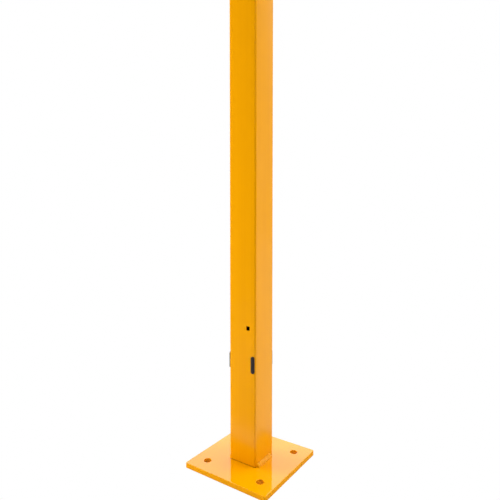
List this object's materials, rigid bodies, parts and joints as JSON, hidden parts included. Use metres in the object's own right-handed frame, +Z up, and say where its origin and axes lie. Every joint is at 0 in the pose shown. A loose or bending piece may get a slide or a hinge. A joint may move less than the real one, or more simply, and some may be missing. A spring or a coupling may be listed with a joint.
{
  "type": "steel safety bollard",
  "caption": "Square steel guard post welded to a square bolt-down base plate, powder-coated, with bracket slots closed by push-in plugs and a push-in cap on top.",
  "frame": {"origin": "middle of the base plate's underside", "axes": "+Z up along the post, -Y towards the front face with the slot and the bolt hole, +X towards the plain right face"},
  "size_m": [0.15, 0.15, 1],
  "materials": {
    "powder_coated_steel": "glossy yellow-orange powder coat on mild steel",
    "plug_plastic": "dark grey moulded polyethylene",
    "cap_plastic": "black moulded polyethylene with a fine grain"
  },
  "bodies": {
    "root": {"base_plate": "powder_coated_steel", "post_tube": "powder_coated_steel", "weld_bead_right": "powder_coated_steel", "weld_bead_left": "powder_coated_steel", "slot_plug_front": "plug_plastic", "slot_plug_left": "plug_plastic", "slot_plug_rear": "plug_plastic", "top_cap": "cap_plastic"}
  },
  "joints": []
}
